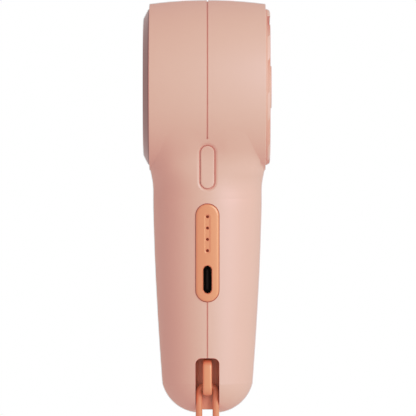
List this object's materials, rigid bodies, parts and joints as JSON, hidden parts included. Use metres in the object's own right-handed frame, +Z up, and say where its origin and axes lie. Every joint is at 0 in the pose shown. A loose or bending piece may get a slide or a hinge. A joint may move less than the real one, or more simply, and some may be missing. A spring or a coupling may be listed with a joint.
{
  "type": "handheld turbo fan",
  "caption": "Cordless handheld fan: round ducted head on a tapered grip, swirl intake, push button, charge plate with port, and a wrist cord on a bar in the base.",
  "frame": {"origin": "on the grip's axis, at the middle of where a hand holds it", "axes": "+Z up the grip to the head, -Y the way the air leaves, +X the side with the button and the charge plate"},
  "size_m": [0.0582, 0.0428, 0.2171],
  "materials": {
    "body": "fine satin, peach pink",
    "steel": "ground",
    "inner_plastic": "plain moulded",
    "ring": "mauve, satin gloss",
    "vanes": "satin",
    "mesh": "plain",
    "copper": "enamelled wire",
    "magnet": "sintered",
    "impeller": "smooth",
    "black_plastic": "moulded",
    "accent": "satin orange",
    "light_pipe": "clear",
    "lamp": "lens",
    "port_metal": "dark plated",
    "board": "solder mask",
    "cell_wrap": "shrink wrap",
    "nickel": "plain strip",
    "lead": "insulated wire",
    "cord": "smooth soft cord"
  },
  "bodies": {
    "case": {"front_shell": "body", "rear_shell": "body", "shell_pins": "steel", "duct_sleeve": "inner_plastic", "outlet_ring": "ring", "outlet_guide": "vanes", "outlet_collar": "inner_plastic", "nose_cap": "vanes", "intake_grille": "body", "intake_cap": "body", "intake_mesh": "mesh", "motor_mount": "inner_plastic", "motor_bearings": "steel", "stator_core": "steel", "stator_windings": "copper", "button_switch": "black_plastic", "charge_plate": "accent", "light_pipe": "light_pipe", "led_chips": "lamp", "usb_shell": "port_metal", "usb_tongue": "black_plastic", "main_board": "board", "board_parts": "black_plastic", "battery_cell": "cell_wrap", "nickel_tabs": "nickel", "battery_cradle": "inner_plastic", "battery_foot": "inner_plastic", "battery_leads": "lead", "motor_leads": "lead", "lanyard_staple": "accent", "lanyard_cord": "cord", "lanyard_bead": "accent"},
    "rotor": {"impeller": "impeller", "rotor_can": "steel", "magnet_ring": "magnet", "motor_shaft": "steel"},
    "button": {"power_button": "body"}
  },
  "joints": [
    {"name": "impeller_spin", "type": "hinge", "parent": "case", "child": "rotor", "pos_m": [0, 0, 0.068], "axis": [0, 1, 0], "continuous": true},
    {"name": "power_button_press", "type": "slide", "parent": "case", "child": "button", "axis": [-1, 0, 0], "range_m": [0, 0.0006], "stiffness_N_per_m": 800}
  ]
}
